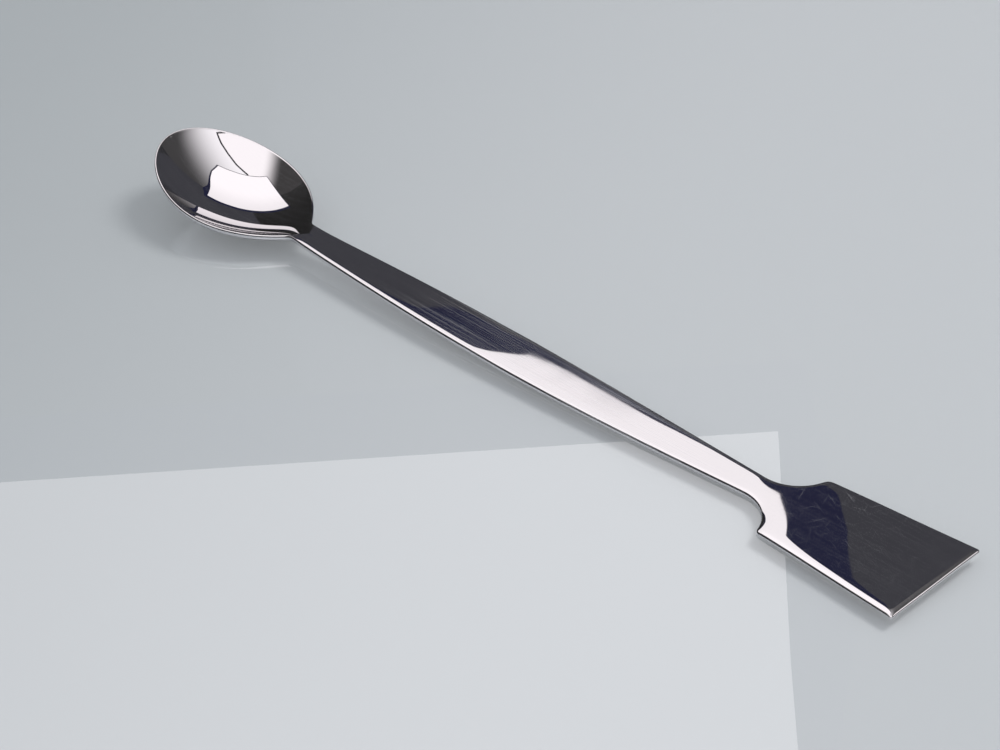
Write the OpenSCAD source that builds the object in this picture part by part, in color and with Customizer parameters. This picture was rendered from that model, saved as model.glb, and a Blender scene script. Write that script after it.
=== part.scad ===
// Laboratory spoon spatula, pressed and ground from one strip of stainless sheet.
// One end is dished into a spoon bowl, the other is a flat square-ended blade, and
// the waisted handle between them rises gently from the blade to the bowl's neck.
//
// X runs along the spatula, with the bowl at -X and the blade at +X. Y runs across
// it and Z is up. The origin is on the bench under the middle of the length. The
// lowest place under the bowl and the whole underside of the blade rest at Z = 0.

/* [Overall] */
// Length from the bowl's tip to the blade's square end
length = 210; // [170:1:260]
// Thickness of the sheet in the bowl and the handle
sheet_t = 1.1; // [0.8:0.05:1.6]
// Radius of the polished edge that runs round the whole outline
edge_r = 0.35; // [0.15:0.05:0.38]

/* [Spoon bowl] */
// Width across the bowl's rim
bowl_w = 29; // [24:0.1:35]
// Distance from the tip to the bowl's widest place
belly = 19.5; // [15:0.1:24]
// Fullness of the rounded tip: 2 is an ellipse, and less is slimmer towards the tip
tip_full = 1.94; // [1.8:0.01:2.2]
// Fullness of the flanks that close on the neck: 0 is a parabola, 0.5 an ellipse
flank = 0.39; // [0.1:0.01:0.45]
// Depth of the bowl below its rim
bowl_d = 5.1; // [3:0.1:7]
// Fullness of the bowl's floor: 1 is a dish of even curve, and less is flatter below
floor_full = 0.75; // [0.6:0.05:1]
// Height that the rim sweeps up towards the tip
tip_rise = 7.3; // [0:0.1:9]
// Width of the rounding on the upper side of the bowl's rim
rim_w = 0.6; // [0.4:0.05:0.8]
// Share of the rim's side, above its lower rounding, that the upper rounding takes
rim_share = 0.93; // [0.5:0.01:0.98]
// Softness of the step where the bowl's floor runs out into the neck
neck_soft = 0.4; // [0.1:0.05:0.8]

/* [Handle] */
// Width of the neck behind the bowl
neck_w = 6.8; // [5:0.1:8]
// Width of the handle at its widest place
grip_w = 11; // [8.5:0.1:13]
// Where the handle is widest, as a share of its run from the neck to the throat
grip_share = 0.46; // [0.35:0.01:0.6]
// Width of the throat in front of the blade
throat_w = 6.3; // [5:0.1:8]
// Height that the crown of the handle stands above its long edges
crown = 0.04; // [0:0.02:0.3]
// Length over which the handle bends up from the throat, to run straight to the neck
bend_l = 87; // [60:1:110]
// Blend between the bowl's flanks and the neck
neck_blend = 0.9; // [0.4:0.1:2]

/* [Blade] */
// Length of the blade from its shoulders to its square end
blade_l = 32.3; // [26:0.1:40]
// Width of the blade across its shoulders
shoulder_w = 20.7; // [17:0.1:25]
// Width of the blade at its square end
end_w = 25.2; // [20:0.1:31]
// Thickness of the blade at its square end
blade_t = 0.85; // [0.8:0.05:1.3]
// Openness of the hollow that sweeps out to each shoulder: 1 is a quarter circle
sweep_open = 1.48; // [1:0.02:2]
// Radius of each shoulder's corner
shoulder_r = 1.3; // [0.8:0.1:2.5]
// Radius of the two corners of the square end
corner_r = 0.6; // [0.5:0.1:1.5]

/* [Hidden] */
steel = [0.77, 0.78, 0.79];

// Where things lie along the spatula, measured from the tip of the bowl.
shoulder_at = length - blade_l;
// The flanks' parabola has about the same curvature at the belly as the tip.
flank_run = belly * sqrt(2);
// The place where the flanks alone would close to a point.
bowl_end = belly + flank_run * sqrt((sqrt(1 + 4 * flank) - 1) / (2 * flank));
neck_past = 1.5;
neck_at = bowl_end + neck_past;
// The hollow's radius is tied to the step from the throat out to the shoulder, and
// the hollow meets the shoulder's corner, which fixes the throat.
corner_y = shoulder_w / 2 - shoulder_r;
sweep_r = sweep_open * (corner_y - throat_w / 2);
sweep_reach = sqrt(pow(sweep_r + shoulder_r, 2) - pow(throat_w / 2 + sweep_r - corner_y, 2));
throat_at = shoulder_at - sweep_reach;
grip_at = neck_at + grip_share * (throat_at - neck_at);

rim_h = rim_share * (sheet_t - edge_r);

// The rim sweeps up from a place a little behind the bowl.
sweep_power = 2.4;
sweep_past = 9.5;
sweep_from = bowl_end + sweep_past;
// Keeps the bowl's floor from ending in a sharp line at the neck.
floor_soft = 0.05;
// Keeps a share that divides above zero.
least = 1e-10;
// Lengths over which the crown comes in behind the bowl and dies out at the blade,
// and how far past the throat it ends.
crown_in = 15;
crown_out = 20;
crown_past = 2;

// Fineness of the mesh along each stretch of the outline and across it.
tip_steps = 20;
flank_steps = 12;
neck_steps = 12;
handle_steps = 28;
throat_steps = 4;
sweep_steps = 8;
shoulder_steps = 5;
blade_steps = 8;
corner_steps = 4;
end_steps = 6;
ring_steps = 7;
edge_steps = 4;
floor_steps = 80;
slope_step = 0.05;
// The rows are closer from here to here about the neck, and from here to the throat.
neck_from = bowl_end - 4;
neck_to = neck_at + 3;
throat_from = throat_at - 8;

// A step from 0 to 1 with no jump in slope or curvature.
function ease(s) = let (c = min(max(s, 0), 1)) c * c * c * (10 - 15 * c + 6 * c * c);
// The larger of two values, blended over a width k.
function soft_max(a, b, k) = (a + b + sqrt((a - b) * (a - b) + k * k)) / 2;
// Evenly spaced values from a up to, but not at, b.
function span(a, b, n) = [for (i = [0:n - 1]) a + (b - a) * i / n];

// ---- Outline: half widths at a distance u from the tip ----

// Share of the bowl's half width that is left at u, from 1 at the belly to 0 at bowl_end.
function flank_share(u) = let (s = pow((u - belly) / flank_run, 2)) 1 - s - flank * s * s;
// The handle swells from the neck to the grip and narrows to the throat on two cosines.
function handle_half(u) =
    let (
        narrow_w = u < grip_at ? neck_w : throat_w,
        run = u < grip_at ? grip_at - neck_at : throat_at - grip_at
    )
    grip_w / 2 - (grip_w - narrow_w) / 2 * (1 - cos(90 * abs(u - grip_at) / run));
// The flanks and the handle, blended from the belly on.
function side_half(u) =
    let (blend = neck_blend * ease((u - belly) / (neck_at - belly)))
    soft_max(bowl_w / 2 * flank_share(u), handle_half(u), blend);

// Angle of the handle's side at the throat, from which the hollow sweep starts.
throat_angle = -atan((grip_w - throat_w) / 2 * (PI / 2) / (throat_at - grip_at));
sweep_c = [throat_at - sweep_r * sin(throat_angle), throat_w / 2 + sweep_r * cos(throat_angle)];
corner_c = [
    sweep_c.x + sqrt(pow(sweep_r + shoulder_r, 2) - pow(sweep_c.y - corner_y, 2)),
    corner_y
];
sweep_end = atan2(corner_c.y - sweep_c.y, corner_c.x - sweep_c.x);
flare = atan((end_w - shoulder_w) / 2 / blade_l);

// Points of an arc about c, from angle a to angle b, without its first point.
function arc(c, r, a, b, n) = [for (i = [1:n]) let (t = a + (b - a) * i / n) c + r * [cos(t), sin(t)]];

// One side of the outline, from the tip round to the middle of the square end.
tip_arc = [
    for (a = span(0, 90, tip_steps))
        [belly * (1 - pow(cos(a), 2 / tip_full)), bowl_w / 2 * pow(sin(a), 2 / tip_full)]
];
side_at = concat(
    span(belly, neck_from, flank_steps),
    span(neck_from, neck_to, neck_steps),
    span(neck_to, throat_from, handle_steps),
    span(throat_from, throat_at, throat_steps),
    [throat_at]
);
side_curve = [for (u = side_at) [u, side_half(u)]];
sweep_arc = arc(sweep_c, sweep_r, throat_angle - 90, sweep_end, sweep_steps);
shoulder_arc = arc(corner_c, shoulder_r, sweep_end + 180, 90 + flare, shoulder_steps);
// The blade's straight side runs from the shoulder to the corner of the square end.
side_start = corner_c + shoulder_r * [-sin(flare), cos(flare)];
end_c = [
    length - corner_r,
    side_start.y + (length - side_start.x) * tan(flare) - corner_r
];
side_stop = end_c + corner_r * [-sin(flare), cos(flare)];
blade_side = [for (s = span(0, 1, blade_steps)) if (s > 0) side_start * (1 - s) + side_stop * s];
end_arc = arc(end_c, corner_r, 90 + flare, 0, corner_steps);
end_edge = [for (s = span(0, 1, end_steps)) if (s > 0) [length, end_c.y * (1 - s)]];
half_outline = concat(
    tip_arc, side_curve, sweep_arc, shoulder_arc, blade_side,
    [side_stop], end_arc, end_edge, [[length, 0]]
);
half_count = len(half_outline) - 1;
loop_count = 2 * half_count;
// The whole outline, out along +Y and back along -Y.
function outline(k) =
    let (i = (k + loop_count) % loop_count)
    i <= half_count ? half_outline[i] : let (p = half_outline[loop_count - i]) [p.x, -p.y];
// Unit normal that points out of the outline.
outward = [
    for (k = [0:loop_count - 1])
        let (d = outline(k + 1) - outline(k - 1)) [-d.y, d.x] / norm(d)
];

// ---- Heights at a distance u from the tip and y from the middle ----

// What is left of the bowl's depth along the middle line, 1 at the belly.
function floor_share(u) =
    u < belly ? pow(1 - pow(1 - max(u, 0) / belly, tip_full), 2 / tip_full)
    : pow(soft_max(flank_share(u), 0, floor_soft) / soft_max(1, 0, floor_soft), 2);
// Depth of the floor along the middle line.
function floor_depth(u) = bowl_d * pow(floor_share(u), floor_full);
// Depth of the bowl's inside below the rim, running out softly into the neck.
function dish(u, y) =
    let (
        f = max(floor_share(u), least),
        q = pow(f, floor_full) * (1 - pow(2 * y / bowl_w, 2) / f),
        root = sqrt(f),
        soft = u < belly ? 0 : neck_soft * root * pow(1 - root, 2)
    )
    bowl_d * (u < belly ? max(q, 0) : (q + sqrt(q * q + soft * soft)) / 2);

// A rise that bends up from level until s is 1, and runs straight from there.
function bent(s) = s < 0 ? 0 : s < 1 ? s * s * s * (1 - s / 2) : s - 0.5;
// Share of the handle's rise, and of the rim's upward sweep.
function rise_share(u) = bent((throat_at - u) / bend_l) / bent((throat_at - neck_at) / bend_l);
function sweep_share(u) = u > sweep_from ? 0 : pow(1 - u / sweep_from, sweep_power);
// The rise that sets the lowest place under the bowl on the bench.
neck_rise = max([
    for (u = span(belly / 2, bowl_end, floor_steps))
        (floor_depth(u) - tip_rise * sweep_share(u)) / rise_share(u)
]);

// Sheet thickness, ground thinner towards the end of the blade.
function thickness(u) = sheet_t + (blade_t - sheet_t) * ease((u - throat_at) / (length - throat_at));
// Fall of the crown from the middle of the handle to its edges.
function crown_fall(u, y) =
    crown * pow(2 * y / grip_w, 2) * ease((u - bowl_end) / crown_in)
    * ease((throat_at + crown_past - u) / crown_out);
// The middle of the sheet's upper face.
function upper_z(u, y) =
    thickness(u) + neck_rise * rise_share(u) + tip_rise * sweep_share(u) - dish(u, y);
// Slope of that face, which thickens a level cut through the leaning sheet.
function lean(u, y) =
    let (
        gx = (upper_z(u + slope_step, y) - upper_z(u - slope_step, y)) / (2 * slope_step),
        gy = (upper_z(u, y + slope_step) - upper_z(u, y - slope_step)) / (2 * slope_step)
    )
    sqrt(1 + gx * gx + gy * gy);
function lower_z(u, y) =
    let (g = u > throat_at ? 1 : lean(max(u, slope_step), y))
    upper_z(u, y) - thickness(u) * g;

// ---- Mesh: closed loops of points, from the middle of the top to that of the underside ----

// Rows of the mesh fan out from two points of the middle line at its ends: one half
// way to the belly, and one at the last row but two of the blade's straight side.
fan_first = len([for (p = tip_arc) if (p.x < belly / 2) 1]);
fan_last = half_count - end_steps - corner_steps - 2;
function spine_row(k) =
    let (i = k <= half_count ? k : loop_count - k) min(max(i, fan_first), fan_last) - fan_first;
spine_at = [for (i = [fan_first:fan_last]) half_outline[i].x];
spine_count = len(spine_at);

// The polished edge is a quarter round at the top and at the bottom, and the upper one
// is wider along the bowl's rim. Width and height of the rounding at each point:
function rounding(k, top) =
    let (share = top ? 1 - ease((outline(k).x - belly) / (neck_at - belly)) : 0)
    [edge_r + (rim_w - edge_r) * share, edge_r + (rim_h - edge_r) * share];

// A loop at an angle a round the edge, 90 on the flat, drawn towards the middle line.
function loop_at(a, share, top) = [
    for (k = [0:loop_count - 1])
        let (
            r = rounding(k, top),
            edge = outline(k) - r.x * (1 - cos(a)) * outward[k],
            mid = [spine_at[spine_row(k)], 0],
            p = mid + share * (edge - mid)
        )
        raise(p, top, r.y * (1 - sin(a)))
];
function raise(p, top, drop) =
    let (z = top ? upper_z(p.x, p.y) - crown_fall(p.x, p.y) - drop : lower_z(p.x, p.y) + drop)
    [p.x - length / 2, p.y, z];
function middle_line(top) = [for (u = spine_at) raise([u, 0], top, 0)];

loops = concat(
    [for (j = [1:ring_steps]) loop_at(90, j / ring_steps, true)],
    [for (j = [1:edge_steps]) loop_at(90 * (1 - j / edge_steps), 1, true)],
    [for (j = [0:edge_steps - 1]) loop_at(90 * j / edge_steps, 1, false)],
    [for (j = [0:ring_steps - 1]) loop_at(90, 1 - j / ring_steps, false)]
);
ring_start = [for (j = [0:len(loops)]) spine_count + j * loop_count];

// The band between two neighbouring loops.
function band(j) = [
    for (k = [0:loop_count - 1])
        let (a = ring_start[j] + k, b = ring_start[j] + (k + 1) % loop_count)
        each [[a, b + loop_count, b], [a, a + loop_count, b + loop_count]]
];
// The band between a middle line, whose points start at m, and the loop that starts at r.
function closing(m, r, flip) = [
    for (k = [0:loop_count - 1])
        let (
            a = m + spine_row(k),
            b = m + spine_row((k + 1) % loop_count),
            c = r + (k + 1) % loop_count,
            d = r + k
        )
        each concat(flip ? [[a, c, d]] : [[a, d, c]], a == b ? [] : flip ? [[a, b, c]] : [[a, c, b]])
];

module spoon_spatula() {
    last = len(loops) - 1;
    color(steel)
        polyhedron(
            points = concat(middle_line(true), [for (l = loops) each l], middle_line(false)),
            faces = concat(
                closing(0, ring_start[0], false),
                [for (j = [0:last - 1]) each band(j)],
                closing(ring_start[last + 1], ring_start[last], true)
            )
        );
}

spoon_spatula();
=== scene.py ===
"""Looks of a polished stainless spoon spatula on a sheet of glass over a pale table.

The piece is built in millimetres, along X with the bowl at -X, and scaled to metres.
The softboxes and walls that it mirrors are glowing cards, placed in millimetres too.
"""

import math

import bpy
import numpy as np
from mathutils import Matrix, Vector


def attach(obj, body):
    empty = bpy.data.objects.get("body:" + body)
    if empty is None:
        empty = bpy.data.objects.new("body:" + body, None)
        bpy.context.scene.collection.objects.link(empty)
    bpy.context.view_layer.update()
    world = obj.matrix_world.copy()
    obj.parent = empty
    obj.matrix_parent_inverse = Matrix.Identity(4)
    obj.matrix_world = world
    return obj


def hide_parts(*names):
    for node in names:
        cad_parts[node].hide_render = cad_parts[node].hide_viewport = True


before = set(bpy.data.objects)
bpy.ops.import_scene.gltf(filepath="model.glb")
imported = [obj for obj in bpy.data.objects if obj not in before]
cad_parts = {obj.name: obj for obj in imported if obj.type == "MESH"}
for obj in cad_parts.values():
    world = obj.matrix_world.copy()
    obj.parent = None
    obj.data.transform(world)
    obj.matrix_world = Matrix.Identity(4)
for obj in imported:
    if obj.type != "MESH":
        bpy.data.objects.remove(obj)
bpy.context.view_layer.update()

MM = 0.001

# ---- Shape of the spatula, in millimetres ----

# The functions up to lower_z are those of the CAD part, less the slight crown of its
# handle. The twist, the waviness and the rolled margin below them are what the polishing
# left, and are in the visual model alone. So is the rounding of the upper edge behind the
# bowl, which is narrower and deeper than the CAD part's.

LENGTH = 210.0
SHEET_T = 1.1
EDGE_R = 0.35
# Width of the rounding on the upper side of the rim and of the edges behind it.
RIM_W = 0.6
EDGE_W = 0.3
# Share of the side's height, above the lower rounding, that the upper one takes.
RIM_SHARE = 0.93
BOWL_W = 29.0
BELLY = 19.5
TIP_FULL = 1.94
FLANK = 0.39
BOWL_D = 5.1
FLOOR_FULL = 0.75
TIP_RISE = 7.3
NECK_SOFT = 0.4
NECK_W = 6.8
GRIP_W = 11.0
GRIP_SHARE = 0.46
THROAT_W = 6.3
BEND_L = 87.0
NECK_BLEND = 0.9
BLADE_L = 32.3
SHOULDER_W = 20.7
END_W = 25.2
BLADE_T = 0.85
SWEEP_OPEN = 1.48
SHOULDER_R = 1.3
CORNER_R = 0.6
# The polished margin rolls down towards the edge within ROLL_RUN of it, by this much
# along the handle, the blade's near side and its far side. Closer to the edge, within
# FALL_RUN, it falls by FALL more.
ROLL_RUN = 2.85
HANDLE_ROLL = 0.033
BLADE_ROLL = 0.14
BLADE_ROLL_FAR = 0.04
FALL_RUN = 1.2
FALL = 0.17

SHOULDER_AT = LENGTH - BLADE_L
FLANK_RUN = BELLY * math.sqrt(2)
BOWL_END = BELLY + FLANK_RUN * math.sqrt((math.sqrt(1 + 4 * FLANK) - 1) / (2 * FLANK))
NECK_AT = BOWL_END + 1.5
CORNER_Y = SHOULDER_W / 2 - SHOULDER_R
SWEEP_R = SWEEP_OPEN * (CORNER_Y - THROAT_W / 2)
SWEEP_REACH = math.sqrt((SWEEP_R + SHOULDER_R) ** 2 - (THROAT_W / 2 + SWEEP_R - CORNER_Y) ** 2)
THROAT_AT = SHOULDER_AT - SWEEP_REACH
GRIP_AT = NECK_AT + GRIP_SHARE * (THROAT_AT - NECK_AT)
SWEEP_FROM = BOWL_END + 9.5
SWEEP_POWER = 2.4

# Points along each stretch of one side of the outline.
TIP_POINTS = 190
FLANK_POINTS = 130
NECK_POINTS = 50
HANDLE_POINTS = 150
SWEEP_POINTS = 40
SHOULDER_POINTS = 20
BLADE_POINTS = 50
CORNER_POINTS = 10
END_POINTS = 26
# Steps from the middle of the top out to the margin, crowding towards it by a power,
# then across the margin, round the two edges and back to the middle of the underside.
TOP_STEPS = 30
CROWDING = 1.4
MARGIN_STEPS = 7
TOP_EDGE_STEPS = 10
LOW_EDGE_STEPS = 5
UNDER_STEPS = 10


def ease(s):
    c = np.clip(s, 0, 1)
    return c**3 * (10 - 15 * c + 6 * c * c)


def eased(u, start, run):
    """From 0 at the start smoothly to 1 at the end of the run."""
    return ease((u - start) / run)


def soft_max(a, b, k):
    return (a + b + np.sqrt((a - b) ** 2 + k * k)) / 2


def flank_share(u):
    s = ((u - BELLY) / FLANK_RUN) ** 2
    return 1 - s - FLANK * s * s


def handle_half(u):
    narrow = np.where(u < GRIP_AT, NECK_W, THROAT_W)
    run = np.where(u < GRIP_AT, GRIP_AT - NECK_AT, THROAT_AT - GRIP_AT)
    turn = np.pi / 2 * np.abs(u - GRIP_AT) / run
    return GRIP_W / 2 - (GRIP_W - narrow) / 2 * (1 - np.cos(turn))


def side_half(u):
    blend = NECK_BLEND * eased(u, BELLY, NECK_AT - BELLY)
    return soft_max(BOWL_W / 2 * flank_share(u), handle_half(u), blend)


def floor_share(u):
    t = np.clip(1 - np.maximum(u, 0) / BELLY, 0, 1)
    f = soft_max(flank_share(u), 0, 0.05) / soft_max(1, 0, 0.05)
    return np.where(u < BELLY, (1 - t**TIP_FULL) ** (2 / TIP_FULL), f * f)


def dish(u, y):
    f = np.maximum(floor_share(u), 1e-10)
    q = f**FLOOR_FULL * (1 - (2 * y / BOWL_W) ** 2 / f)
    root = np.sqrt(f)
    soft = NECK_SOFT * root * (1 - root) ** 2
    return BOWL_D * np.where(u < BELLY, np.maximum(q, 0), (q + np.sqrt(q * q + soft * soft)) / 2)


def bent(s):
    s = np.maximum(s, 0)
    return np.where(s < 1, s**3 * (1 - s / 2), s - 0.5)


def rise_share(u):
    return bent((THROAT_AT - u) / BEND_L) / bent((THROAT_AT - NECK_AT) / BEND_L)


def sweep_share(u):
    return np.maximum(1 - u / SWEEP_FROM, 0) ** SWEEP_POWER


span_u = BELLY / 2 + (BOWL_END - BELLY / 2) * np.arange(80) / 80
floor_left = BOWL_D * floor_share(span_u) ** FLOOR_FULL - TIP_RISE * sweep_share(span_u)
# The neck rises just as far as keeps the bowl's floor on the table.
NECK_RISE = np.max(floor_left / rise_share(span_u))


def thickness(u):
    return SHEET_T + (BLADE_T - SHEET_T) * eased(u, THROAT_AT, LENGTH - THROAT_AT)


def upper_z(u, y):
    return thickness(u) + NECK_RISE * rise_share(u) + TIP_RISE * sweep_share(u) - dish(u, y)


def lower_z(u, y):
    h = 0.05
    gx = (upper_z(u + h, y) - upper_z(u - h, y)) / (2 * h)
    gy = (upper_z(u, y + h) - upper_z(u, y - h)) / (2 * h)
    lean = np.where(u > THROAT_AT, 1, np.sqrt(1 + gx * gx + gy * gy))
    return upper_z(u, y) - thickness(u) * lean


def arc(c, r, a, b, n):
    """The n points that follow the first on an arc about c, between two angles."""
    t = np.linspace(a, b, n + 1)[1:]
    return np.stack([c[0] + r * np.cos(t), c[1] + r * np.sin(t)], 1)


TWIST = math.radians(0.96)


def twist(u):
    """Faint twist left in the handle by the polishing, as a slope across it.

    It comes in about the middle of the length and dies out towards the blade.
    """
    x = u - LENGTH / 2
    left = soft_max(np.minimum(1 - (x - 2.2) / 32, 1), 0, 0.12)
    return TWIST * eased(x, -9.2, 12.6) * left**0.93


def sway(u):
    """Slight waviness: a dip beside the throat, then a rise that holds to the blade's end."""
    x = u - LENGTH / 2
    return 0.1 * eased(x, 67.5, 18) - 0.04 * eased(x, 61, 8)


THROAT_ANGLE = -math.atan((GRIP_W - THROAT_W) / 2 * (math.pi / 2) / (THROAT_AT - GRIP_AT))
SWEEP_C = np.array(
    [THROAT_AT - SWEEP_R * math.sin(THROAT_ANGLE), THROAT_W / 2 + SWEEP_R * math.cos(THROAT_ANGLE)]
)
CORNER_X = SWEEP_C[0] + math.sqrt((SWEEP_R + SHOULDER_R) ** 2 - (SWEEP_C[1] - CORNER_Y) ** 2)
CORNER_C = np.array([CORNER_X, CORNER_Y])
SWEEP_END = math.atan2(CORNER_C[1] - SWEEP_C[1], CORNER_C[0] - SWEEP_C[0])
FLARE = math.atan((END_W - SHOULDER_W) / 2 / BLADE_L)
SIDE_N = np.array([-math.sin(FLARE), math.cos(FLARE)])
SIDE_START = CORNER_C + SHOULDER_R * SIDE_N


def blade_half(x, inset):
    """Half width of the blade's flared part, drawn in by a distance."""
    return SIDE_START[1] + (x - SIDE_START[0]) * math.tan(FLARE) - inset / math.cos(FLARE)


def soft_min(a, b, k):
    h = np.maximum(k - np.abs(a - b), 0) / k
    return np.minimum(a, b) - h * h * k / 4


def edge_gap(u, y):
    """Distance in from the outline behind the bowl, rounded where two sides meet."""
    y = np.abs(y)
    hollow = np.hypot(u - SWEEP_C[0], y - SWEEP_C[1]) - SWEEP_R
    blade = soft_min(hollow, (blade_half(u, 0) - y) * math.cos(FLARE), 2)
    handle = side_half(np.minimum(u, THROAT_AT)) - y
    return np.where(u < THROAT_AT, handle, soft_min(blade, LENGTH - u, 1))


def rolled(u, y):
    """How far the polishing has rolled the margin down; the bowl's rim is left as it is."""
    blade = BLADE_ROLL + (BLADE_ROLL_FAR - BLADE_ROLL) * eased(y, -6, 12)
    full = HANDLE_ROLL + (blade - HANDLE_ROLL) * eased(u, THROAT_AT - 4, 10)
    gap = edge_gap(u, y)
    roll = full * np.maximum(1 - gap / ROLL_RUN, 0) ** 3
    fall = FALL * np.maximum(1 - gap / FALL_RUN, 0) ** 2.5
    return roll * eased(u, BOWL_END + 2, 12) + fall * eased(u, BOWL_END - 2, 7)


def height(u, y):
    """The polished upper side."""
    return upper_z(u, y) + twist(u) * y + sway(u) - rolled(u, y)


def half_outline():
    """One side of the outline, from the tip to the middle of the square end."""
    a = np.linspace(0, math.pi / 2, TIP_POINTS, endpoint=False)
    tip = np.stack(
        [BELLY * (1 - np.cos(a) ** (2 / TIP_FULL)), BOWL_W / 2 * np.sin(a) ** (2 / TIP_FULL)], 1
    )
    u = np.concatenate(
        [
            np.linspace(BELLY, BOWL_END - 4, FLANK_POINTS, endpoint=False),
            np.linspace(BOWL_END - 4, NECK_AT + 3, NECK_POINTS, endpoint=False),
            np.linspace(NECK_AT + 3, THROAT_AT, HANDLE_POINTS, endpoint=False),
        ]
    )
    side = np.stack([u, side_half(u)], 1)
    throat = np.array([[THROAT_AT, side_half(np.array(THROAT_AT))]])
    side_angle = math.pi / 2 + FLARE
    sweep = arc(SWEEP_C, SWEEP_R, THROAT_ANGLE - math.pi / 2, SWEEP_END, SWEEP_POINTS)
    shoulder = arc(CORNER_C, SHOULDER_R, SWEEP_END + math.pi, side_angle, SHOULDER_POINTS)
    end_c = np.array([LENGTH - CORNER_R, blade_half(LENGTH, 0) - CORNER_R])
    stop = end_c + CORNER_R * SIDE_N
    s = np.linspace(0, 1, BLADE_POINTS)[1:, None]
    blade = SIDE_START * (1 - s) + stop * s
    corner = arc(end_c, CORNER_R, side_angle, 0, CORNER_POINTS)
    s = np.linspace(0, 1, END_POINTS)[1:]
    end = np.stack([np.full(len(s), LENGTH), end_c[1] * (1 - s)], 1)
    return np.concatenate([tip, side, throat, sweep, shoulder, blade, corner, end])


def spatula_mesh():
    """Points, faces and normals.

    Closed loops run from the middle line of the top, out over the margin and round the
    edge, to the middle line of the underside.
    """
    half = half_outline()
    n = len(half) - 1
    loop = np.concatenate([half, (half * [1, -1])[-2:0:-1]])
    count = len(loop)
    d = np.roll(loop, -1, 0) - np.roll(loop, 1, 0)
    outward = np.stack([-d[:, 1], d[:, 0]], 1) / np.linalg.norm(d, axis=1)[:, None]
    # The middle lines start short of the tip and stop short of the square end.
    first = int(np.sum(half[:TIP_POINTS, 0] < BELLY / 2))
    last = int(np.max(np.nonzero(half[:, 0] < LENGTH - 6)))
    k = np.arange(count)
    row = np.clip(np.where(k <= n, k, count - k), first, last) - first
    spine = half[first : last + 1, 0]
    mid = np.stack([spine[row], np.zeros(count)], 1)

    u, y = loop.T
    rim = 1 - eased(u, BELLY, NECK_AT - BELLY)
    side = thickness(u) + sway(u) - rolled(u, y) - EDGE_R
    top_edge = [EDGE_W + (RIM_W - EDGE_W) * rim, RIM_SHARE * side]
    low_edge = [np.full(count, EDGE_R)] * 2

    def drawn_in(inset):
        """The outline drawn in by a distance; corners that close up meet in one place."""
        p = loop - np.reshape(inset, (-1, 1)) * outward
        x = np.minimum(p[:, 0], LENGTH - inset)
        y = np.abs(p[:, 1])
        y = np.where(x > CORNER_X, np.minimum(y, blade_half(x, inset)), y)
        return np.stack([x, np.sign(p[:, 1]) * y], 1)

    def slopes(surface, p):
        h = 0.02
        u, y = np.maximum(p[:, 0], h), p[:, 1]
        gx = (surface(u + h, y) - surface(u - h, y)) / (2 * h)
        gy = (surface(u, y + h) - surface(u, y - h)) / (2 * h)
        return np.stack([gx, gy], 1)

    points, normals = [], []

    def add(p, top, a=math.pi / 2, edge=None):
        """One row of points, above or below; a is the turn round an edge of width and height."""
        u, y = p[:, 0], p[:, 1]
        if top:
            z = height(u, y)
            face = np.concatenate([-slopes(height, p), np.ones((len(p), 1))], 1)
        else:
            z = lower_z(u, y) + twist(u) * y
            face = np.concatenate([slopes(lower_z, p), -np.ones((len(p), 1))], 1)
        if edge is not None:
            w, h = edge
            z = z - (1 if top else -1) * h * (1 - math.sin(a))
            out = np.concatenate([outward, np.zeros((count, 1))], 1)
            face = (w * math.sin(a))[:, None] * face + (h * math.cos(a))[:, None] * out
        points.append(np.stack([u - LENGTH / 2, y, z], 1))
        normals.append(face / np.linalg.norm(face, axis=1)[:, None])

    middle = np.stack([spine, np.zeros(len(spine))], 1)
    # The loops follow the outline up to here, a little less than the shoulders' radius.
    margin = 1.25
    inner = drawn_in(margin)
    add(middle, True)
    for share in np.linspace(0, 1, TOP_STEPS + 1)[1:]:
        add(mid + (1 - (1 - share) ** CROWDING) * (inner - mid), True)
    for share in np.linspace(0, 1, MARGIN_STEPS + 1)[1:-1]:
        add(drawn_in(margin + (top_edge[0] - margin) * share), True)
    for a in np.radians(np.linspace(90, 0, TOP_EDGE_STEPS + 1)):
        add(drawn_in(top_edge[0] * (1 - math.cos(a))), True, a, top_edge)
    for a in np.radians(np.linspace(0, 90, LOW_EDGE_STEPS + 1)):
        add(drawn_in(EDGE_R * (1 - math.cos(a))), False, a, low_edge)
    inner = drawn_in(EDGE_R)
    for share in np.linspace(1, 0, UNDER_STEPS + 1)[1:-1]:
        add(mid + share * (inner - mid), False)
    add(middle, False)
    rows = len(points) - 2
    start = [len(spine) + j * count for j in range(rows + 1)]
    faces = []
    for j in range(rows - 1):
        for i in range(count):
            a, b = start[j] + i, start[j] + (i + 1) % count
            faces.append((a, b, b + count, a + count))
    for m, r, top in ((0, start[0], True), (start[-1], start[-2], False)):
        for i in range(count):
            a, b = m + row[i], m + row[(i + 1) % count]
            c, e = r + (i + 1) % count, r + i
            face = (a, c, e) if a == b else (a, b, c, e)
            faces.append(face if top else face[::-1])
    return np.concatenate(points) * MM, faces, np.concatenate(normals)


def add_mesh(name, points, faces, normals=None):
    places = [tuple(map(float, p)) for p in points]
    mesh = bpy.data.meshes.new(name)
    mesh.from_pydata(places, [], [tuple(map(int, f)) for f in faces])
    mesh.update()
    if normals is not None:
        mesh.shade_smooth()
        mesh.normals_split_custom_set_from_vertices([tuple(map(float, v)) for v in normals])
    obj = bpy.data.objects.new(name, mesh)
    bpy.context.scene.collection.objects.link(obj)
    return obj


def new_material(name):
    material = bpy.data.materials.new(name)
    material.use_nodes = True
    tree = material.node_tree
    tree.nodes.clear()
    out = tree.nodes.new("ShaderNodeOutputMaterial")
    return material, tree, out


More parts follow.
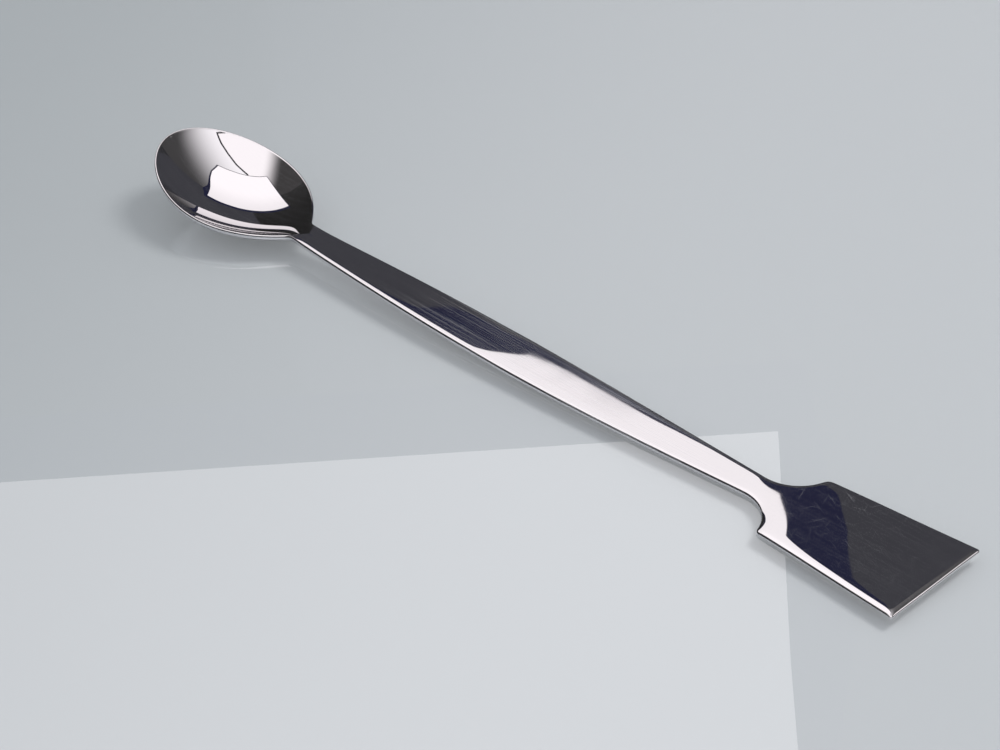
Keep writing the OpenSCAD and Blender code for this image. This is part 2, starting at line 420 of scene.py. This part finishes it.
def noise(tree, place, scale, detail, turn=0):
    """Noise in object space, with its own scale along each axis, turned about Z in degrees."""
    stretch = tree.nodes.new("ShaderNodeMapping")
    stretch.vector_type = "TEXTURE"
    stretch.inputs["Rotation"].default_value = (0, 0, math.radians(turn))
    stretch.inputs["Scale"].default_value = [1 / v for v in scale]
    tree.links.new(place.outputs["Object"], stretch.inputs["Vector"])
    texture = tree.nodes.new("ShaderNodeTexNoise")
    texture.inputs["Scale"].default_value = 1
    texture.inputs["Detail"].default_value = detail
    tree.links.new(stretch.outputs["Vector"], texture.inputs["Vector"])
    return texture.outputs["Fac"]


def ramp(tree, value, given, wanted):
    """A value carried from one range smoothly to another."""
    node = tree.nodes.new("ShaderNodeMapRange")
    node.interpolation_type = "SMOOTHSTEP"
    names = ("From Min", "From Max", "To Min", "To Max")
    for name, number in zip(names, (*given, *wanted)):
        node.inputs[name].default_value = number
    tree.links.new(value, node.inputs["Value"])
    return node.outputs["Result"]


def combined(operation):
    """A function that puts two values together by a math node."""

    def of_two(tree, first, second):
        node = tree.nodes.new("ShaderNodeMath")
        node.operation = operation
        tree.links.new(first, node.inputs[0])
        tree.links.new(second, node.inputs[1])
        return node.outputs["Value"]

    return of_two


times = combined("MULTIPLY")
add_up = combined("ADD")


def one_less(tree, value):
    """One less the value."""
    node = tree.nodes.new("ShaderNodeMath")
    node.operation = "SUBTRACT"
    node.inputs[0].default_value = 1.0
    tree.links.new(value, node.inputs[1])
    return node.outputs["Value"]


# ---- Polished steel ----


def polished_steel():
    material, tree, out = new_material("polished_steel")
    nodes, links = tree.nodes, tree.links
    steel = nodes.new("ShaderNodeBsdfPrincipled")
    steel.inputs["Base Color"].default_value = (0.78, 0.76, 0.77, 1)
    place = nodes.new("ShaderNodeTexCoord")
    # Faint cloudiness of the polish.
    cloud = noise(tree, place, (60, 60, 60), 4)
    rough = ramp(tree, cloud, (0.3, 0.7), (0.012, 0.03))
    links.new(rough, steel.inputs["Roughness"])
    # Fine lines left by the polishing, along the handle, strongest about its middle.
    along = nodes.new("ShaderNodeSeparateXYZ")
    links.new(place.outputs["Object"], along.inputs["Vector"])
    worn_in = ramp(tree, along.outputs["X"], (-0.035, -0.005), (0.08, 1))
    worn_out = ramp(tree, along.outputs["X"], (0.03, 0.07), (1, 0.08))
    lines = ramp(tree, noise(tree, place, (18, 4500, 10), 3), (0.45, 0.75), (0, 0.34))
    marks = times(tree, times(tree, lines, worn_in), worn_out)
    # Short scratches in all directions from use, on the blade, most of them near the throat.
    used_in = ramp(tree, along.outputs["X"], (0.05, 0.068), (0, 1))
    used_out = ramp(tree, along.outputs["X"], (0.08, 0.095), (1, 0.35))
    used = times(tree, used_in, used_out)
    for turn in (20, 65, 110, 155):
        fine = noise(tree, place, (170, 9000, 10), 0, turn)
        scratch = ramp(tree, fine, (0.74, 0.86), (0, 0.16))
        marks = add_up(tree, marks, times(tree, scratch, used))
    links.new(one_less(tree, marks), steel.inputs["Metallic"])
    bump = nodes.new("ShaderNodeBump")
    bump.inputs["Strength"].default_value = 0.03
    bump.inputs["Distance"].default_value = 0.000004
    links.new(noise(tree, place, (40, 2500, 10), 2), bump.inputs["Height"])
    links.new(bump.outputs["Normal"], steel.inputs["Normal"])
    links.new(steel.outputs["BSDF"], out.inputs["Surface"])
    return material


spatula = add_mesh("spatula", *spatula_mesh())
spatula.data.materials.append(polished_steel())
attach(spatula, "root")
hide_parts("spoon_spatula")

# ---- Glass sheet over a pale table ----


def glass_top():
    material, tree, out = new_material("glass_top")
    nodes, links = tree.nodes, tree.links
    clear = nodes.new("ShaderNodeBsdfTransparent")
    clear.inputs["Color"].default_value = (1, 1, 1, 1)
    gloss = nodes.new("ShaderNodeBsdfGlossy")
    gloss.inputs["Color"].default_value = (1, 1, 1, 1)
    gloss.inputs["Roughness"].default_value = 0.0
    fresnel = nodes.new("ShaderNodeFresnel")
    fresnel.inputs["IOR"].default_value = 1.87
    # Light that comes back up from the table passes without a second reflection.
    side = nodes.new("ShaderNodeNewGeometry")
    share = times(tree, fresnel.outputs["Fac"], one_less(tree, side.outputs["Backfacing"]))
    mix = nodes.new("ShaderNodeMixShader")
    links.new(share, mix.inputs["Fac"])
    links.new(clear.outputs["BSDF"], mix.inputs[1])
    links.new(gloss.outputs["BSDF"], mix.inputs[2])
    links.new(mix.outputs["Shader"], out.inputs["Surface"])
    return material


def pale_table():
    material, tree, out = new_material("pale_table")
    base = tree.nodes.new("ShaderNodeBsdfDiffuse")
    # Painted shade: the table's colour greys a little towards the far left, standing in for the
    # light falling off there.
    place = tree.nodes.new("ShaderNodeTexCoord")
    reach = tree.nodes.new("ShaderNodeVectorMath")
    reach.operation = "DOT_PRODUCT"
    reach.inputs[1].default_value = (0.85, 0.52, 0)
    tree.links.new(place.outputs["Object"], reach.inputs[0])
    painted_shade_tone = tree.nodes.new("ShaderNodeMix")
    painted_shade_tone.data_type = "RGBA"
    painted_shade_tone.inputs["A"].default_value = (0.445, 0.468, 0.479, 1)
    painted_shade_tone.inputs["B"].default_value = (0.556, 0.572, 0.583, 1)
    painted_light_share = ramp(tree, reach.outputs["Value"], (-0.18, 0.04), (0, 1))
    tree.links.new(painted_light_share, painted_shade_tone.inputs["Factor"])
    tree.links.new(painted_shade_tone.outputs["Result"], base.inputs["Color"])
    # Painted light: a glow that the camera alone sees lifts the table's shadow, standing in for
    # light spreading inside the table and the glass.
    painted_glow = tree.nodes.new("ShaderNodeEmission")
    tree.links.new(painted_shade_tone.outputs["Result"], painted_glow.inputs["Color"])
    path = tree.nodes.new("ShaderNodeLightPath")
    mix = tree.nodes.new("ShaderNodeMixShader")
    seen = ramp(tree, path.outputs["Is Camera Ray"], (0, 1), (0, 0.3))
    tree.links.new(seen, mix.inputs["Fac"])
    tree.links.new(base.outputs["BSDF"], mix.inputs[1])
    tree.links.new(painted_glow.outputs["Emission"], mix.inputs[2])
    tree.links.new(mix.outputs["Shader"], out.inputs["Surface"])
    return material


# Half the width of the glass and of the table, and the glass's thickness, in metres.
FLOOR_HALF = 3.0
GLASS_T = 0.002


def plane(name, half, z):
    corners = [(-half, -half, z), (half, -half, z), (half, half, z), (-half, half, z)]
    return add_mesh(name, corners, [(0, 1, 2, 3)])


glass = plane("glass", FLOOR_HALF, 0)
glass.data.materials.append(glass_top())
table = plane("table", FLOOR_HALF, -GLASS_T)
table.data.materials.append(pale_table())

# ---- Camera ----

camera_data = bpy.data.cameras.new("camera")
camera_data.sensor_width = 36
camera_data.lens = 95.476
camera_data.clip_start = 0.01
camera = bpy.data.objects.new("camera", camera_data)
bpy.context.scene.collection.objects.link(camera)
bpy.context.scene.camera = camera
# Where the photo was taken from, solved from the outlines of the spatulas in it.
EYE = Vector((0.316138, -0.297423, 0.294874))
forward = Vector((-0.60333, 0.56086, -0.56695)).normalized()
level = forward.cross(Vector((0, 0, 1))).normalized()
rise = level.cross(forward)
tilt = math.radians(-2.8053)
right = math.cos(tilt) * level + math.sin(tilt) * rise
up = right.cross(forward)
turned = Matrix((right, up, -forward)).transposed().to_4x4()
camera.matrix_world = Matrix.Translation(EYE) @ turned

# ---- Softboxes, as glowing cards ----

# The camera's level direction, the one to its right, and the bowl's middle.
AHEAD = Vector((-0.7325, 0.6808, 0))
ASIDE = Vector((0.6808, 0.7325, 0))
BOWL_AT = Vector((-84, 0, 3))


def glow_material(name, colour, low, high, along=None, span=(0, 1), power=1.0):
    """Emission of one colour, of strength high.

    With a direction along, the strength falls to low over the span, in metres.
    """
    material, tree, out = new_material(name)
    nodes, links = tree.nodes, tree.links
    glow = nodes.new("ShaderNodeEmission")
    glow.inputs["Color"].default_value = (*colour, 1)
    glow.inputs["Strength"].default_value = high
    if along is not None:
        place = nodes.new("ShaderNodeTexCoord")
        reach = nodes.new("ShaderNodeVectorMath")
        reach.operation = "DOT_PRODUCT"
        reach.inputs[1].default_value = along
        links.new(place.outputs["Object"], reach.inputs[0])
        curve = nodes.new("ShaderNodeMath")
        curve.operation = "POWER"
        curve.inputs[1].default_value = power
        links.new(ramp(tree, reach.outputs["Value"], span, (1, 0)), curve.inputs[0])
        strength = nodes.new("ShaderNodeMath")
        strength.operation = "MULTIPLY_ADD"
        strength.inputs[1].default_value = high - low
        strength.inputs[2].default_value = low
        links.new(curve.outputs["Value"], strength.inputs[0])
        links.new(strength.outputs["Value"], glow.inputs["Strength"])
    links.new(glow.outputs["Emission"], out.inputs["Surface"])
    return material


def card(name, corners, material):
    """A flat shape that shows in mirrors alone."""
    obj = add_mesh(name, [Vector(c) * MM for c in corners], [tuple(range(len(corners)))])
    obj.data.materials.append(material)
    obj.visible_camera = False
    obj.visible_diffuse = False
    obj.visible_shadow = False
    return obj


WHITE = (1, 0.965, 0.985)
NAVY = (0.4, 0.43, 1)
# Its lower left, lower right, upper right and upper left corners.
SOFTBOX = [(-665, 122, 446), (-267, 403, 363), (-32, 180, 731), (-430, -101, 814)]


def grown(corners, left, right, down, up, back):
    """The corners of a card, moved out by these distances and set back from the bowl."""
    ll, lr, ur, ul = [Vector(c) for c in corners]
    s, t = (lr - ll).normalized(), (ul - ll).normalized()
    moved = [
        ll - s * left - t * down,
        lr + s * right - t * down,
        ur + s * right + t * up,
        ul - s * left + t * up,
    ]
    return [BOWL_AT + (c - BOWL_AT) * back for c in moved]


def on_card(corners, s, t):
    """A place on a card, by shares of its width and height."""
    ll, lr, ur, ul = [Vector(c) for c in corners]
    return ll * (1 - s) * (1 - t) + lr * s * (1 - t) + ur * s * t + ul * (1 - s) * t


# The right side of the softbox is bowed about its middle, and its upper corner is cut back.
OUTLINE = [(0, 0), (1, 0), (1, 0.2), (1.002, 0.27), (1.01, 0.36), (1.018, 0.45), (1.02, 0.55)]
OUTLINE += [(1.012, 0.7), (0.93, 0.97), (0.7, 0.99), (0, 1)]
downward = (Vector(SOFTBOX[0]) - Vector(SOFTBOX[3])).normalized()
softbox = card(
    "softbox",
    [on_card(SOFTBOX, s, t) for s, t in OUTLINE],
    glow_material(
        "softbox",
        WHITE,
        low=1.12,
        high=1.3,
        along=downward,
        span=[on_card(SOFTBOX, 0, t).dot(downward) * MM for t in (0.5, 0)],
    ),
)
# The softbox's frame is a dark blue card just behind it, with an outline of its own.
BORDER = grown(SOFTBOX, left=8, right=24, down=30, up=8, back=1.01)
BORDER_OUTLINE = [(0, 0), (0.975, 0), (0.992, 0.102), (1.002, 0.129), (1.014, 0.158)]
BORDER_OUTLINE += [(1.012, 0.19), (1, 0.24), (0.987, 0.3), (0.985, 0.36), (0.99, 0.45)]
BORDER_OUTLINE += [(0.992, 0.55), (0.984, 0.7), (0.908, 0.97), (0.7, 0.99), (0, 1)]
frame_card = card(
    "softbox_frame",
    [on_card(BORDER, s, t) for s, t in BORDER_OUTLINE],
    glow_material("frame", NAVY, low=0.05, high=0.05),
)


def overhead(spots, height):
    """Places at a height above the bowl, by degrees from the zenith, right and forward."""
    places = []
    for a, b in spots:
        turn = math.hypot(a, b)
        reach = height * math.tan(math.radians(turn)) / turn
        level = ASIDE * (a * reach) + AHEAD * (b * reach)
        places.append(BOWL_AT + level + Vector((0, 0, height)))
    return places


def panel_axis(a, b, height):
    """Direction that reads off how far right and forward a place is, in shares of the height."""
    return ASIDE * a / (height * MM) + AHEAD * b / (height * MM)


# The panels overhead, by height; the left one has a frame, and the right one lies behind it.
LEFT_UP = 1000
LEFT_FRAME_UP = 1010
RIGHT_UP = 1020
PANEL_GLOW = 1.25
# The fall in their brightness leans forward by this share.
FORWARD = 0.4
LEFT_PANEL = [(-50, 30), (-8.4, 30), (-8.4, 9), (-2.7, 1.8), (1.5, -6.5), (4.7, -13.9)]
LEFT_PANEL += [(6.8, -21.5), (-8, -23), (-50, -20)]
LEFT_BORDER = [(-50, 30), (-7.2, 30), (-7.2, 9.6), (-1.5, 2.3), (2.7, -6), (5.9, -13.4)]
LEFT_BORDER += [(8.3, -22.7), (-8, -24.2), (-50, -21)]
RIGHT_PANEL = [(-20, 40), (62, 24), (62, -60), (-20, -60)]


def panel(name, spots, height, colour, low, side, reach, power):
    """A panel overhead that falls off to low towards the left, side -1, or the right, 1."""
    axis = panel_axis(side, FORWARD, height)
    offset = axis.dot(BOWL_AT) * MM
    span = [offset + share for share in reach]
    glow = glow_material(name, colour, low, PANEL_GLOW, axis, span, power)
    return card(name, overhead(spots, height), glow)


panel_left = panel("panel_left", LEFT_PANEL, LEFT_UP, WHITE, 0.06, -1, (0.37, 0.73), 1.5)
panel_left_frame = card(
    "panel_left_frame",
    overhead(LEFT_BORDER, LEFT_FRAME_UP),
    glow_material("panel_frame", (1, 1, 1.1), low=0.06, high=0.06),
)
PEARL = (0.99, 0.97, 1)
panel_right = panel("panel_right", RIGHT_PANEL, RIGHT_UP, PEARL, 0.065, 1, (-0.1, 1.1), 1.75)


def upright(middle, way, left, right, bottom, top):
    """Corners of an upright card about a place, left and right along a level way."""
    spots = [(left, bottom), (right, bottom), (right, top), (left, top)]
    return [middle + way * a + Vector((0, 0, z)) for a, z in spots]


WALL_AT = AHEAD * 1450
WALL_FOOT = -60
# Height in metres below which a wall is at its darkest.
WALL_DARK = 0.1
SIDE_LIGHT_AT = ASIDE * 1050


def wall(name, left, right, top, low, high, reach, colour):
    """Wall ahead, whose glow falls from high to low below a height of reach, in metres."""
    glow = glow_material(name, colour, low, high, Vector((0, 0, -1)), (-reach, -WALL_DARK))
    return card(name, upright(WALL_AT, ASIDE, left, right, WALL_FOOT, top), glow)


wall_left = wall(
    "wall_left", -2500, -180, 2800, low=0.017, high=0.036, reach=2.2, colour=(1, 1, 1)
)
wall_right = wall(
    "wall_right", -170, 1800, 2600, low=0.024, high=0.057, reach=0.45, colour=(0.97, 0.98, 1.15)
)
# Light from the right, seen in the blade's end.
side_light = card(
    "side_light",
    upright(SIDE_LIGHT_AT, AHEAD, -330, 230, 350, 900),
    glow_material("side_light", WHITE, low=1.2, high=1.2),
)

# ---- Light ----

# The key light stands this far from the spatula, in metres and in degrees to the right of
# ahead and above the table.
KEY_AWAY = 1.3
KEY_BEARING = math.radians(75)
KEY_CLIMB = math.radians(55)

key_data = bpy.data.lights.new("key", "AREA")
key_data.shape = "DISK"
key_data.size = 0.5
key_data.energy = 8.6
key = bpy.data.objects.new("key", key_data)
bpy.context.scene.collection.objects.link(key)
way = AHEAD * math.cos(KEY_BEARING) + ASIDE * math.sin(KEY_BEARING)
key.location = (way * math.cos(KEY_CLIMB) + Vector((0, 0, math.sin(KEY_CLIMB)))) * KEY_AWAY
key.rotation_euler = (-key.location).to_track_quat("-Z", "Y").to_euler()
key.visible_glossy = False
key.visible_camera = False

# Pale for what lights the table, dark for what the steel and the glass mirror.
world = bpy.data.worlds.new("room")
bpy.context.scene.world = world
world.use_nodes = True
nodes, links = world.node_tree.nodes, world.node_tree.links
nodes.clear()
pale = nodes.new("ShaderNodeBackground")
pale.inputs["Color"].default_value = (0.9, 0.94, 1, 1)
pale.inputs["Strength"].default_value = 0.79
dark = nodes.new("ShaderNodeBackground")
dark.inputs["Color"].default_value = (0.036, 0.036, 0.04, 1)
dark.inputs["Strength"].default_value = 1.0
path = nodes.new("ShaderNodeLightPath")
mix = nodes.new("ShaderNodeMixShader")
out = nodes.new("ShaderNodeOutputWorld")
links.new(path.outputs["Is Glossy Ray"], mix.inputs["Fac"])
links.new(pale.outputs["Background"], mix.inputs[1])
links.new(dark.outputs["Background"], mix.inputs[2])
links.new(mix.outputs["Shader"], out.inputs["Surface"])

bpy.context.scene.view_settings.view_transform = "Standard"
